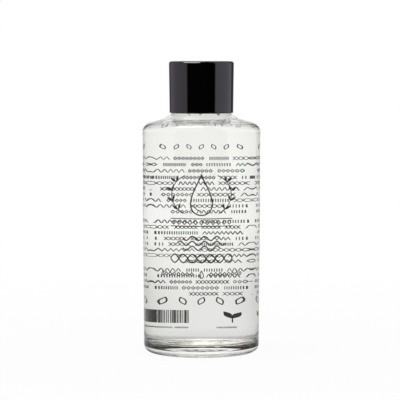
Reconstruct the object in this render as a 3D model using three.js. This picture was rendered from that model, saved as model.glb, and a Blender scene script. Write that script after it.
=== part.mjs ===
// A clear glass remover bottle with a glossy screw closure, in millimetres with +Z up.
// The origin is the middle of the ring that the bottle stands on.
import * as THREE from "three";

// Glass, outside
const bodyDiameter = 42; // at the shoulder
const heelInset = 0.63; // the side draws in by this much towards the heel
const heelRadius = 3;
const bearingWidth = 2.4; // flat ring that the bottle stands on
const pushUp = 1.8; // hollow under the base
const shoulderHeight = 80.7; // where the side and the shoulder slope would meet
const shoulderSlope = 14.5; // degrees
const shoulderRadius = 3.8;
const collarDiameter = 28; // foot of the cone that carries the neck
const collarSlope = 30; // degrees
const collarRadius = 1.6;

// Glass, inside
const bodyWall = 1.9;
const shoulderWall = 2.1;
const collarWall = 2.4;
const floorThickness = 4; // at the wall
const floorRise = 0.9; // the floor crowns over the hollow base
const innerHeelRadius = 4.5;
const innerShoulderRadius = 2.6;
const innerNeckRadius = 4;
const boreDiameter = 10;

// Glass, neck finish
const neckDiameter = 15.7; // between the thread turns
const threadDiameter = 17.7; // over the thread turns
const finishHeight = 12; // neck root to mouth
const neckRootRadius = 0.5;
const beadDiameter = 18;
const beadHeight = 1.8;
const beadRise = 0.7; // neck root to bead
const beadRadius = 0.6;
const lipRadius = 0.6;

// Fluid
const headspace = 13; // mouth to fluid level
const fluidClearance = 0.3;

// Orifice plug pressed into the mouth
const plugFlange = 0.7;
const flangeInset = 0.5; // flange edge inside the lip
const plugDepth = 8;
const plugWall = 0.75;
const plugClearance = 0.08;
const plugPlate = 0.9; // web that carries the orifice
const orificeDiameter = 3.2;
const dishDepth = 1;
const plugRibs = 3;
const plugRibHeight = 0.35;

// Closure
const seatGap = 0.05; // between faces that are stacked under the cap
const facingThickness = 0.3;
const wadThickness = 1.2;
const threadClearance = 0.3;
const insertWall = 1.25;
const insertTop = 1.2;
const insertFit = 0.15; // insert to shell
const insertLift = 0.3; // insert hem above the bead
const wadClearance = 0.15;
const wadGrip = 0.35; // ring that holds the wad in the insert
const gripHeight = 0.5;
const facingClearance = 0.25;
const shellWall = 0.75;
const shellTop = 1.3;
const shellFlare = 0.24; // the crown is wider than the hem
const shellEdgeRadius = 0.9;
const hemRadius = 0.3;
const crownRadius = 0.6; // inside the shell and round the insert
const hemClearance = 0.35; // hem to collar
const snapHeight = 0.8; // ridge that keeps the insert in the shell
const snapDepth = 0.35;

// Facets
const turnSteps = 48;
const arcTolerance = 0.05; // chord to arc
const domeSteps = 4;

const rise = (run, slope) => run * Math.tan(THREE.MathUtils.degToRad(slope));
const upright = (wall, slope) => wall / Math.cos(THREE.MathUtils.degToRad(slope));

// Radii and heights that the pieces share
const bodyRadius = bodyDiameter / 2;
const heelBodyRadius = bodyRadius - heelInset;
const collarFoot = collarDiameter / 2;
const collarZ = shoulderHeight + rise(bodyRadius - collarFoot, shoulderSlope);
const collarHeightAt = (radius) => collarZ + rise(collarFoot - radius, collarSlope);
const neckRadius = neckDiameter / 2;
const neckRootZ = collarHeightAt(neckRadius);
const mouthZ = neckRootZ + finishHeight;
const boreRadius = boreDiameter / 2;
const beadBottomZ = neckRootZ + beadRise;
const beadTopZ = beadBottomZ + beadHeight;

const flangeZ = mouthZ + seatGap;
const facingZ = flangeZ + plugFlange + seatGap;
const wadZ = facingZ + facingThickness + seatGap;
const insertCeilingZ = wadZ + wadThickness + seatGap;
const insertTopZ = insertCeilingZ + insertTop;
const shellCeilingZ = insertTopZ + seatGap;
const capTopZ = shellCeilingZ + shellTop;

const insertBore = threadDiameter / 2 + threadClearance;
const insertRadius = insertBore + insertWall;
const insertHemZ = beadTopZ + insertLift;
const wadRadius = insertBore - wadClearance;
const gripBore = wadRadius - wadGrip;
const facingRadius = gripBore - facingClearance;
const shellBore = insertRadius + insertFit;
const hemOuter = shellBore + shellWall;
const capHemZ = collarHeightAt(shellBore - hemClearance);

// Points of an outline whose corners are [radius, height, rounding]
function rounded(corners) {
  return corners.flatMap(([r, z, rounding = 0], index) => {
    const corner = new THREE.Vector2(r, z);
    if (rounding === 0) return [corner];
    const back = new THREE.Vector2(...corners[index - 1]).sub(corner);
    const ahead = new THREE.Vector2(...corners[index + 1]).sub(corner);
    const reach = Math.min(back.length(), ahead.length()) / 2;
    back.normalize();
    ahead.normalize();
    const halfAngle = Math.acos(back.dot(ahead)) / 2;
    const radius = Math.min(rounding, reach * Math.tan(halfAngle));
    const tangent = radius / Math.tan(halfAngle);
    const inwards = back.clone().add(ahead).normalize();
    const centre = corner.clone().addScaledVector(inwards, radius / Math.sin(halfAngle));
    const from = corner.clone().addScaledVector(back, tangent).sub(centre).angle();
    const to = corner.clone().addScaledVector(ahead, tangent).sub(centre).angle();
    const clockwise = back.cross(ahead) > 0;
    const arc = new THREE.EllipseCurve(centre.x, centre.y, radius, radius, from, to, clockwise);
    const step = 2 * Math.acos(1 - Math.min(arcTolerance / radius, 1));
    return arc.getPoints(Math.max(2, Math.ceil((Math.PI - 2 * halfAngle) / step)));
  });
}

// Corners of a shallow dome, from the axis out to its edge
function dome(edgeRadius, edgeZ, height) {
  return Array.from({ length: domeSteps + 1 }, (_, step) => {
    const share = step / domeSteps;
    return [edgeRadius * share, edgeZ + height * (1 - share * share)];
  });
}

// Solid of revolution about Z
function turned(points) {
  return new THREE.LatheGeometry(points, turnSteps).rotateX(Math.PI / 2);
}

// Corners of the hollow in the glass, from the floor up to the mouth, drawn in by a clearance
function hollow(clearance) {
  const sideAtShoulder = bodyRadius - bodyWall - clearance;
  const sideAtHeel = heelBodyRadius - bodyWall - clearance;
  const bore = boreRadius - clearance;
  const shoulderDrop = upright(shoulderWall + clearance, shoulderSlope);
  const collarDrop = upright(collarWall + clearance, collarSlope);
  const slopeDifference = rise(1, collarSlope) - rise(1, shoulderSlope);
  const footRadius = collarFoot - (collarDrop - shoulderDrop) / slopeDifference;
  const floorZ = floorThickness + clearance;
  return [
    ...dome(sideAtHeel - innerHeelRadius, floorZ, floorRise),
    [sideAtHeel, floorZ, innerHeelRadius],
    [sideAtShoulder, shoulderHeight + rise(bodyRadius - sideAtShoulder, shoulderSlope) - shoulderDrop,
      innerShoulderRadius],
    [footRadius, collarHeightAt(footRadius) - collarDrop, collarRadius],
    [bore, collarHeightAt(bore) - collarDrop, innerNeckRadius],
    [bore, mouthZ],
  ];
}

function glassBottle() {
  const bearingOuter = heelBodyRadius - heelRadius;
  const bearingInner = bearingOuter - bearingWidth;
  const outside = [
    ...dome(bearingInner, 0, pushUp),
    [heelBodyRadius, 0, heelRadius],
    [bodyRadius, shoulderHeight, shoulderRadius],
    [collarFoot, collarZ, collarRadius],
    [neckRadius, neckRootZ, neckRootRadius],
    [neckRadius, beadBottomZ],
    [beadDiameter / 2, beadBottomZ, beadRadius],
    [beadDiameter / 2, beadTopZ, beadRadius],
    [neckRadius, beadTopZ],
    [neckRadius, mouthZ, lipRadius],
  ];
  const [mouth, ...inside] = hollow(0).reverse();
  return turned(rounded([...outside, [...mouth, lipRadius], ...inside]));
}

// The hollow filled up to the fluid level
function removerFluid() {
  const level = mouthZ - headspace;
  const wall = rounded(hollow(fluidClearance));
  const above = wall.findIndex((point) => point.y > level);
  const [low, high] = wall.slice(above - 1, above + 1);
  const rim = low.clone().lerp(high, (level - low.y) / (high.y - low.y));
  return turned([...wall.slice(0, above), rim, new THREE.Vector2(0, level)]);
}

function orificePlug() {
  const grip = boreRadius - plugClearance;
  const root = grip - plugRibHeight;
  const skirt = root - plugWall;
  const orifice = orificeDiameter / 2;
  const topZ = flangeZ + plugFlange;
  const dishZ = topZ - dishDepth;
  const hemZ = mouthZ - plugDepth;
  const ribPitch = plugDepth / (plugRibs + 1);
  const ribs = Array.from({ length: plugRibs }, (_, index) => {
    const ribZ = hemZ + ribPitch * (index + 1);
    return [
      [root, ribZ - plugRibHeight],
      [grip, ribZ],
      [root, ribZ + plugRibHeight],
    ];
  }).flat();
  return turned(rounded([
    [orifice, dishZ],
    [orifice, dishZ - plugPlate],
    [skirt, dishZ - plugPlate, plugWall],
    [skirt, hemZ],
    [root, hemZ, plugWall / 2],
    ...ribs,
    [root, flangeZ],
    [neckRadius - flangeInset, flangeZ],
    [neckRadius - flangeInset, topZ],
    [skirt, topZ],
    [orifice, dishZ],
  ]));
}

function disc(radius, bottomZ, thickness) {
  return turned(rounded([
    [0, bottomZ],
    [radius, bottomZ],
    [radius, bottomZ + thickness],
    [0, bottomZ + thickness],
  ]));
}

// Threaded inner cup; the ring under its ceiling holds the wad
function capInsert() {
  const gripZ = facingZ - gripHeight;
  return turned(rounded([
    [0, insertCeilingZ],
    [insertBore, insertCeilingZ],
    [insertBore, wadZ - seatGap],
    [gripBore, gripZ + gripHeight / 2],
    [insertBore, gripZ],
    [insertBore, insertHemZ],
    [insertRadius, insertHemZ],
    [insertRadius, insertTopZ, crownRadius],
    [0, insertTopZ],
  ]));
}

// Outer shell; the ridge below the insert snaps it in
function capShell() {
  const snapTopZ = insertHemZ - seatGap;
  return turned(rounded([
    [0, shellCeilingZ],
    [shellBore, shellCeilingZ, crownRadius],
    [shellBore, snapTopZ],
    [shellBore - snapDepth, snapTopZ - snapHeight / 2],
    [shellBore, snapTopZ - snapHeight],
    [shellBore, capHemZ, hemRadius],
    [hemOuter, capHemZ, hemRadius],
    [hemOuter + shellFlare, capTopZ, shellEdgeRadius],
    [0, capTopZ],
  ]));
}

const finishes = {
  clearGlass: { color: 0xeef2ee, roughness: 0.03, metalness: 0, transparent: true, opacity: 0.3 },
  paleFluid: { color: 0xf1f2ea, roughness: 0.02, metalness: 0, transparent: true, opacity: 0.35 },
  glossBlack: { color: 0x060607, roughness: 0.08, metalness: 0 },
  mouldedWhite: { color: 0xe6e6e1, roughness: 0.45, metalness: 0 },
  milkyPlug: { color: 0xe9ece8, roughness: 0.4, metalness: 0 },
  whiteFoam: { color: 0xf2f1ec, roughness: 0.85, metalness: 0 },
  barrierFilm: { color: 0xdfe3e4, roughness: 0.25, metalness: 0 },
};

const pieces = [
  ["glass_bottle", glassBottle(), finishes.clearGlass],
  ["remover_fluid", removerFluid(), finishes.paleFluid],
  ["orifice_plug", orificePlug(), finishes.milkyPlug],
  ["seal_facing", disc(facingRadius, facingZ, facingThickness), finishes.barrierFilm],
  ["seal_wad", disc(wadRadius, wadZ, wadThickness), finishes.whiteFoam],
  ["cap_insert", capInsert(), finishes.mouldedWhite],
  ["cap_shell", capShell(), finishes.glossBlack],
];

const bottle = new THREE.Group();
bottle.name = "remover_bottle";
for (const [name, geometry, finish] of pieces) {
  const mesh = new THREE.Mesh(geometry, new THREE.MeshStandardMaterial(finish));
  mesh.name = name;
  bottle.add(mesh);
}

export default bottle;
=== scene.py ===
"""Dresses the remover bottle: clear glass, its fluid, the printed ink and a glossy screw closure.

Lengths are in metres, +Z is up, and the printed front of the bottle faces -Y.
"""

import logging
import math
import random
from dataclasses import dataclass, field
from enum import Enum
from typing import Callable, Iterator, Sequence

import bmesh
import bpy
from mathutils import Matrix, Vector


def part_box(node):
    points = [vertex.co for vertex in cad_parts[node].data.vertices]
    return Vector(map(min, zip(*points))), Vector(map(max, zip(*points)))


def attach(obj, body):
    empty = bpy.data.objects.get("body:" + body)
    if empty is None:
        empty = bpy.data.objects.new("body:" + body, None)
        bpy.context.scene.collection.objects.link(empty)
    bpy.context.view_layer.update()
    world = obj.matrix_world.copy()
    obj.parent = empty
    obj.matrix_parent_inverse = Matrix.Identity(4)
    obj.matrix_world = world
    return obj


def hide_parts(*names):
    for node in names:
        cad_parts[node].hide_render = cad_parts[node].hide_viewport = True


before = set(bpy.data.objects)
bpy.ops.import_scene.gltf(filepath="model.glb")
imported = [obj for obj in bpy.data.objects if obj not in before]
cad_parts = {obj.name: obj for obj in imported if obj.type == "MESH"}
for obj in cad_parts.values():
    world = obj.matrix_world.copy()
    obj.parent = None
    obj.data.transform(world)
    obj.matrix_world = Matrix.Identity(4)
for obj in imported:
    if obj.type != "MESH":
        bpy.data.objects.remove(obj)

MM = 0.001
TOUCH = 1e-7
LOOSE = 1.01
ARC_STEP = math.radians(6)
ARC_LEAST = 3
RUN_STEP = 1.5 * MM
RUN_EASE = 0.12 * MM
CREASE = math.radians(33)
LOG = logging.getLogger("remover_bottle")

Outline = list[Vector]
Point = tuple[float, float, float]
Pair = tuple[float, float]
Face = tuple[int, ...]
Colour = tuple[float, float, float]
Piece = bpy.types.Object
Tree = bpy.types.NodeTree
Socket = bpy.types.NodeSocket
Sockets = bpy.types.bpy_prop_collection

WHITE: Colour = (1.0, 1.0, 1.0)
WARM: Colour = (1.0, 0.975, 0.925)


# Outlines and turned bodies


@dataclass(frozen=True)
class Corner:
    """A corner of a turned outline.

    The run is the longest step of the straight length that leaves the corner.
    """

    radius: float
    height: float
    rounding: float = 0.0
    run: float = RUN_STEP

    @property
    def point(self) -> Vector:
        """The corner as a point of radius and height."""
        return Vector((self.radius, self.height))


def turned_vector(vector: Vector, angle: float) -> Vector:
    """A plane vector turned anticlockwise by an angle in radians."""
    cos, sin = math.cos(angle), math.sin(angle)
    return Vector((vector.x * cos - vector.y * sin, vector.x * sin + vector.y * cos))


def leftwards(vector: Vector) -> Vector:
    """A plane vector turned anticlockwise by a quarter."""
    return Vector((-vector.y, vector.x))


def about_axis(radius: float, angle: float, height: float) -> Point:
    """The point at a radius, an angle about Z and a height."""
    return radius * math.cos(angle), radius * math.sin(angle), height


def corner_arc(corners: Sequence[Corner], index: int) -> Outline:
    """Rounds one corner of an outline.

    Args:
        corners: The whole outline.
        index: Which corner to round.

    Returns:
        The points of its arc, or the corner itself where it is sharp.
    """
    here = corners[index].point
    if not corners[index].rounding:
        return [here]
    back = corners[index - 1].point - here
    ahead = corners[index + 1].point - here
    reach = min(back.length, ahead.length) / 2
    back.normalize()
    ahead.normalize()
    half = math.acos(max(-1.0, min(1.0, back.dot(ahead)))) / 2
    radius = min(corners[index].rounding, reach * math.tan(half))
    centre = here + (back + ahead).normalized() * radius / math.sin(half)
    spoke = here + back * radius / math.tan(half) - centre
    bend = math.pi - 2 * half
    sense = -1 if back.cross(ahead) > 0 else 1
    steps = max(ARC_LEAST, math.ceil(bend / ARC_STEP))
    return [centre + turned_vector(spoke, sense * bend * step / steps) for step in range(steps + 1)]


def divided(start: Vector, end: Vector, step: float) -> Outline:
    """Points between two ends of a straight run, with one close to each end.

    Args:
        start: Where the run starts.
        end: Where the run ends.
        step: Longest step between two points.

    Returns:
        The points between the ends, without them.
    """
    length = (end - start).length
    if length <= step:
        return []
    ease = min(RUN_EASE, step / 4) / length
    count = math.ceil(length / step)
    shares = [ease, *(index / count for index in range(1, count)), 1 - ease]
    return [start.lerp(end, share) for share in shares]


def traced(corners: Sequence[Corner]) -> Outline:
    """Draws an outline with rounded corners and divided runs.

    Args:
        corners: The outline's corners in order.

    Returns:
        The points of radius and height along it.
    """
    points = corner_arc(corners, 0)
    for index in range(1, len(corners)):
        rounded = corner_arc(corners, index)
        points += divided(points[-1], rounded[0], corners[index - 1].run) + rounded
    return points


def dome(edge_radius: float, edge_height: float, height: float, steps: int = 8) -> list[Corner]:
    """Corners of a shallow dome, from the axis out to its edge."""
    shares = [step / steps for step in range(steps + 1)]
    return [Corner(edge_radius * share, edge_height + height * (1 - share * share)) for share in shares]


def cut_at(points: Outline, height: float) -> int:
    """Puts a point into a rising outline where it passes a height.

    Args:
        points: The outline, which gains the point.
        height: The height of the cut.

    Returns:
        The index of the new point.
    """
    index = next(index for index, point in enumerate(points) if point.y > height)
    low, high = points[index - 1], points[index]
    points.insert(index, low.lerp(high, (height - low.y) / (high.y - low.y)))
    return index


def link_object(name: str, data: bpy.types.ID) -> Piece:
    """Puts data into the scene as a new object.

    Args:
        name: The object's name.
        data: Its mesh, lamp or camera.

    Returns:
        The object.
    """
    obj = bpy.data.objects.new(name, data)
    bpy.context.collection.objects.link(obj)
    return obj


def skinned(name: str, vertices: list[Point], faces: list[Face], zones: Sequence[int] = ()) -> Piece:
    """Makes a piece that is shaded smooth up to its creases.

    Args:
        name: The piece's name.
        vertices: Its points.
        faces: The vertex numbers of its faces.
        zones: The material number of each face, where there is more than one material.

    Returns:
        The new piece.
    """
    mesh = bpy.data.meshes.new(name)
    mesh.from_pydata(vertices, [], faces)
    if zones:
        mesh.polygons.foreach_set("material_index", zones)
    mesh.shade_smooth()
    mesh.set_sharp_from_angle(angle=CREASE)
    mesh.validate()
    return link_object(name, mesh)


@dataclass
class TurnedBody:
    """A closed surface turned about Z from an outline that keeps its solid on the left.

    The zones give each run of the outline its material, and the relief raises the surface
    off its radius by the angle and the place on the outline.
    """

    outline: Outline
    zones: list[int] = field(default_factory=list)
    relief: Callable[[float, Vector], float] | None = None
    segments: int = 192

    def build(self, name: str) -> Piece:
        """Makes the turned surface.

        Args:
            name: The piece's name.

        Returns:
            The new piece.
        """
        rings, vertices = self.rings()
        faces: list[Face] = []
        zones: list[int] = []
        for index in range(len(rings) - 1):
            faces += self.band(rings[index], rings[index + 1])
            zones += [self.zones[index] if self.zones else 0] * (len(faces) - len(zones))
        return skinned(name, vertices, faces, zones)

    def rings(self) -> tuple[list[list[int]], list[Point]]:
        """Places the vertices of each ring; one on the axis is a single vertex.

        Returns:
            The vertex numbers of each ring, and the vertices.
        """
        rings: list[list[int]] = []
        vertices: list[Point] = []
        closed = (self.outline[0] - self.outline[-1]).length < TOUCH
        for point in self.outline[:-1] if closed else self.outline:
            count = 1 if point.x < TOUCH else self.segments
            rings.append(list(range(len(vertices), len(vertices) + count)))
            for step in range(count):
                angle = math.tau * step / self.segments
                radius = point.x + (self.relief(angle, point) if self.relief else 0.0)
                vertices.append(about_axis(radius, angle, point.y))
        return (rings + rings[:1] if closed else rings), vertices

    def band(self, low: list[int], high: list[int]) -> Iterator[Face]:
        """Faces between two rings.

        Args:
            low: Vertices of the earlier ring.
            high: Vertices of the later ring.

        Yields:
            The vertex numbers of each face.
        """
        for step in range(self.segments):
            after = (step + 1) % self.segments
            ends = [low[step % len(low)], low[after % len(low)],
                    high[after % len(high)], high[step % len(high)]]
            yield tuple(dict.fromkeys(ends))


@dataclass(frozen=True)
class Thread:
    """A right-hand screw thread as a relief on a turned wall.

    Its middle line climbs from the base height by one pitch in each turn.
    """

    base: float
    depth: float
    pitch: float = 3.175 * MM
    turns: float = 1.5
    crest: float = 0.35 * MM
    foot: float = 1.1 * MM
    fade: float = math.radians(28)

    def height(self, angle: float, level: float) -> float:
        """How far the thread stands off its wall.

        Args:
            angle: Angle about the axis, in radians.
            level: Height along the axis.

        Returns:
            The relief there.
        """
        end = math.tau * self.turns
        best = 0.0
        for lap in range(math.ceil(self.turns)):
            turned = angle + math.tau * lap
            away = abs(level - self.base - self.pitch * turned / math.tau)
            if turned > end or away >= self.foot:
                continue
            flank = smooth((self.foot - away) / (self.foot - self.crest))
            best = max(best, flank * smooth(min(turned, end - turned) / self.fade))
        return best * self.depth


def smooth(share: float) -> float:
    """A share from 0 to 1 with eased ends."""
    share = max(0.0, min(1.0, share))
    return share * share * (3 - 2 * share)


# Nodes


def add_node(tree: Tree, kind: str, inputs: dict | None = None, **settings: object) -> bpy.types.Node:
    """Adds a node with its inputs set or linked.

    Args:
        tree: The tree that gets the node.
        kind: Blender's name for the node.
        inputs: Values, or sockets to link, by input name or number.
        settings: Properties of the node itself.

    Returns:
        The new node.
    """
    node = tree.nodes.new(kind)
    for key, value in settings.items():
        setattr(node, key, value)
    for key, value in (inputs or {}).items():
        if isinstance(value, Socket):
            tree.links.new(value, node.inputs[key])
        else:
            node.inputs[key].default_value = value
    return node


def cleared(owner: bpy.types.Material | bpy.types.World) -> Tree:
    """Empties the nodes of a material or a world.

    Args:
        owner: The material or world.

    Returns:
        Its nodes.
    """
    owner.use_nodes = True
    owner.node_tree.nodes.clear()
    return owner.node_tree


def object_point(tree: Tree) -> Socket:
    """The place on the object."""
    return add_node(tree, "ShaderNodeTexCoord").outputs["Object"]


def calc(tree: Tree, operation: str, *values: float | Socket) -> Socket:
    """The result of a sum, product or other operation on some values."""
    return add_node(tree, "ShaderNodeMath", dict(enumerate(values)), operation=operation).outputs[0]


def mixed(tree: Tree, share: Socket, first: Colour | Socket, second: Colour | Socket,
          how: str = "MIX") -> Socket:
    """Two colours mixed by the share of the second."""
    ends = [end if isinstance(end, Socket) else (*end, 1.0) for end in (first, second)]
    return add_node(tree, "ShaderNodeMix", {"Factor": share, 6: ends[0], 7: ends[1]},
                    data_type="RGBA", blend_type=how).outputs[2]


def noise(tree: Tree, scale: float | Socket, detail: float, roughness: float = 0.5) -> Socket:
    """Noise by the place on the object."""
    return add_node(tree, "ShaderNodeTexNoise",
                    {"Vector": object_point(tree), "Scale": scale, "Detail": detail,
                     "Roughness": roughness}).outputs["Fac"]


def slope(tree: Tree, value: Socket, start: float, end: float, low: float = 0.0) -> Socket:
    """A share that climbs from the low one to 1 while a value runs from start to end."""
    return add_node(tree, "ShaderNodeMapRange",
                    {"Value": value, "From Min": start, "From Max": end, "To Min": low,
                     "To Max": 1.0}).outputs["Result"]


def bumped(tree: Tree, height: Socket, distance: float) -> Socket:
    """The normal of a surface with a relief."""
    return add_node(tree, "ShaderNodeBump",
                    {"Strength": 1.0, "Distance": distance, "Height": height}).outputs["Normal"]


@dataclass(frozen=True)
class SharedGroup:
    """A node group that is made once, with the names of the values that it takes and gives."""

    name: str
    takes: tuple[str, ...]
    gives: tuple[str, ...]

    def node(self, tree: Tree, *values: float) -> bpy.types.Node:
        """Adds the group to a material, with a value for each that it takes."""
        return add_node(tree, "ShaderNodeGroup", dict(zip(self.takes, values)), node_tree=self.group())

    def group(self) -> Tree:
        """Makes the group, or hands out the one already made.

        Returns:
            The group's nodes.
        """
        if self.name in bpy.data.node_groups:
            return bpy.data.node_groups[self.name]
        tree = bpy.data.node_groups.new(self.name, "ShaderNodeTree")
        for way, labels in (("INPUT", self.takes), ("OUTPUT", self.gives)):
            for label in labels:
                tree.interface.new_socket(label, in_out=way, socket_type="NodeSocketFloat")
        made = self.wire(tree, add_node(tree, "NodeGroupInput").outputs)
        add_node(tree, "NodeGroupOutput", dict(zip(self.gives, made)))
        return tree

    def wire(self, tree: Tree, given: Sockets) -> tuple[Socket, ...]:
        """Builds what the group gives from what it takes; each group has its own way."""
        raise NotImplementedError


@dataclass(frozen=True)
class MouldedSkin(SharedGroup):
    """The slightly uneven skin of a moulded part."""

    name: str = "moulded_skin"
    takes: tuple[str, ...] = ("Scale", "Roughness", "Spread")
    gives: tuple[str, ...] = ("Roughness", "Height")
    broad_scale: float = 140.0

    def wire(self, tree: Tree, given: Sockets) -> tuple[Socket, ...]:
        """Spreads the roughness by a broad noise, and gives a fine one as the height."""
        centred = calc(tree, "SUBTRACT", noise(tree, self.broad_scale, detail=2.0), 0.5)
        return (calc(tree, "MULTIPLY_ADD", centred, given["Spread"], given["Roughness"]),
                noise(tree, given["Scale"], detail=3.0, roughness=0.55))


@dataclass(frozen=True)
class GlassWave(SharedGroup):
    """The faint waves of moulded glass, which are calm along the straight side."""

    name: str = "glass_wave"
    takes: tuple[str, ...] = ("Scale", "Calm")
    gives: tuple[str, ...] = ("Height",)
    base: float = 9.0 * MM
    shoulder: float = 79.0 * MM
    ease: float = 5.0 * MM

    def wire(self, tree: Tree, given: Sockets) -> tuple[Socket, ...]:
        """Weakens the waves between the base and the shoulder.

        Args:
            tree: The group's nodes.
            given: The values that it takes.

        Returns:
            The socket of the height.
        """
        level = add_node(tree, "ShaderNodeSeparateXYZ", {"Vector": object_point(tree)}).outputs["Z"]
        rough = calc(tree, "MAXIMUM", slope(tree, level, self.base, self.base - self.ease),
                     slope(tree, level, self.shoulder, self.shoulder + self.ease))
        share = calc(tree, "MAXIMUM", rough, given["Calm"])
        waves = noise(tree, given["Scale"], detail=1.0, roughness=0.4)
        return (calc(tree, "MULTIPLY", waves, share),)


# Finishes


@dataclass(frozen=True)
class Finish:
    """A material that is made once under its own name."""

    name: str

    def material(self) -> bpy.types.Material:
        """Makes the material, or hands out the one already made.

        Returns:
            The finished material.
        """
        if self.name in bpy.data.materials:
            return bpy.data.materials[self.name]
        made = bpy.data.materials.new(self.name)
        tree = cleared(made)
        add_node(tree, "ShaderNodeOutputMaterial", {"Surface": self.shader(tree)})
        return made

    def shader(self, tree: Tree) -> Socket:
        """Builds the nodes of the finish; each kind of finish has its own."""
        raise NotImplementedError


@dataclass(frozen=True)
class ClearFinish(Finish):
    """Clear glass or fluid; the index is that of the solid against what lies in front of it."""

    index: float = 1.5
    tint: Colour = WHITE
    wave: float = 0.0
    wave_scale: float = 300.0
    calm: float = 0.1
    cloud: float = 40.0

    def shader(self, tree: Tree) -> Socket:
        """Smooth transmission with the tint of the thickness and the waves of the surface.

        Args:
            tree: The material's nodes.

        Returns:
            The shader's socket.
        """
        inputs = {"Base Color": mixed(tree, noise(tree, self.cloud, detail=1.0), self.tint, WHITE),
                  "Roughness": 0.0, "IOR": self.index, "Transmission Weight": 1.0}
        if self.wave:
            waves = GlassWave().node(tree, self.wave_scale, self.calm)
            inputs["Normal"] = bumped(tree, waves.outputs["Height"], self.wave)
        return add_node(tree, "ShaderNodeBsdfPrincipled", inputs).outputs["BSDF"]


@dataclass(frozen=True)
class MouldedFinish(Finish):
    """Moulded plastic with an uneven skin."""

    colour: Colour
    shade: Colour
    roughness: float
    spread: float
    grain: float
    relief: float
    index: float
    soft: float = 0.0
    soft_depth: float = 1.5 * MM
    cloud: float = 220.0

    def shader(self, tree: Tree) -> Socket:
        """Plastic with a clouded colour and a fine skin.

        Args:
            tree: The material's nodes.

        Returns:
            The shader's socket.
        """
        skin = MouldedSkin().node(tree, self.grain, self.roughness, self.spread).outputs
        clouds = noise(tree, self.cloud, detail=4.0)
        return add_node(tree, "ShaderNodeBsdfPrincipled",
                        {"Base Color": mixed(tree, clouds, self.colour, self.shade),
                         "Roughness": skin["Roughness"], "IOR": self.index,
                         "Subsurface Weight": self.soft, "Subsurface Scale": self.soft_depth,
                         "Normal": bumped(tree, skin["Height"], self.relief)}).outputs["BSDF"]


@dataclass(frozen=True)
class InkFinish(Finish):
    """Screen-printed ink, slightly uneven in cover."""

    colour: Colour = (0.012, 0.012, 0.014)
    thin: Colour = (0.03, 0.03, 0.033)
    roughness: float = 0.45
    index: float = 1.5
    mottle: float = 2600.0

    def shader(self, tree: Tree) -> Socket:
        """Dark ink with a mottled cover."""
        cover = mixed(tree, noise(tree, self.mottle, detail=2.0), self.colour, self.thin)
        return add_node(tree, "ShaderNodeBsdfPrincipled",
                        {"Base Color": cover, "Roughness": self.roughness,
                         "IOR": self.index}).outputs["BSDF"]


GLASS_INDEX = 1.51
FLUID_INDEX = 1.36


class Finishes(Enum):
    """Every finish on the bottle."""

    DRY_GLASS = ClearFinish("dry_glass", GLASS_INDEX, tint=(0.97, 0.98, 0.96), wave=0.04 * MM,
                            wave_scale=260.0, calm=0.04)
    DAMP_GLASS = ClearFinish("damp_glass", GLASS_INDEX, tint=(0.97, 0.98, 0.96), wave=0.12 * MM,
                             wave_scale=1600.0, calm=0.5)
    WET_GLASS = ClearFinish("wet_glass", GLASS_INDEX / FLUID_INDEX, tint=(0.98, 0.98, 0.96),
                            wave=0.4 * MM, wave_scale=330.0, calm=0.04)
    FLUID_WALL = ClearFinish("fluid_wall", 1.0, tint=(0.96, 0.965, 0.93))
    FLUID_TOP = ClearFinish("fluid_top", FLUID_INDEX, tint=(0.98, 0.98, 0.97))
    BLACK_CAP = MouldedFinish("cap_black", (0.0006, 0.0006, 0.0007), (0.001, 0.0009, 0.001),
                              roughness=0.045, spread=0.03, grain=700.0, relief=0.0006 * MM, index=1.5)
    WHITE_MOULDED = MouldedFinish("insert_white", (0.78, 0.78, 0.75), (0.72, 0.72, 0.69), roughness=0.4,
                                  spread=0.1, grain=1200.0, relief=0.004 * MM, index=1.49, soft=0.2)
    MILKY = MouldedFinish("plug_milky", (0.8, 0.82, 0.8), (0.74, 0.76, 0.74), roughness=0.35,
                          spread=0.1, grain=1500.0, relief=0.003 * MM, index=1.51, soft=0.6)
    FOAM = MouldedFinish("wad_foam", (0.84, 0.83, 0.79), (0.7, 0.69, 0.66), roughness=0.85,
                         spread=0.1, grain=3500.0, relief=0.05 * MM, index=1.4, soft=0.1)
    FILM = MouldedFinish("facing_film", (0.72, 0.74, 0.75), (0.66, 0.68, 0.69), roughness=0.22,
                         spread=0.08, grain=600.0, relief=0.003 * MM, index=1.5)
    BLACK_INK = InkFinish("print_ink")


def dress(obj: Piece, body: str, slot: str, *finishes: Finishes, nodes: Sequence[str] = ()) -> Piece:
    """Gives a piece its finishes and its place in the frame.

    Args:
        obj: The piece.
        body: The body that it rides on.
        slot: The record's material slot that it stands for; not used.
        finishes: The materials in the order of the piece's zones.
        nodes: The CAD nodes that it replaces.

    Returns:
        The piece.
    """
    for finish in finishes:
        obj.data.materials.append(finish.value.material())
    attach(obj, body)
    if nodes:
        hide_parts(*nodes)
    return obj


# Bottle


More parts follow.
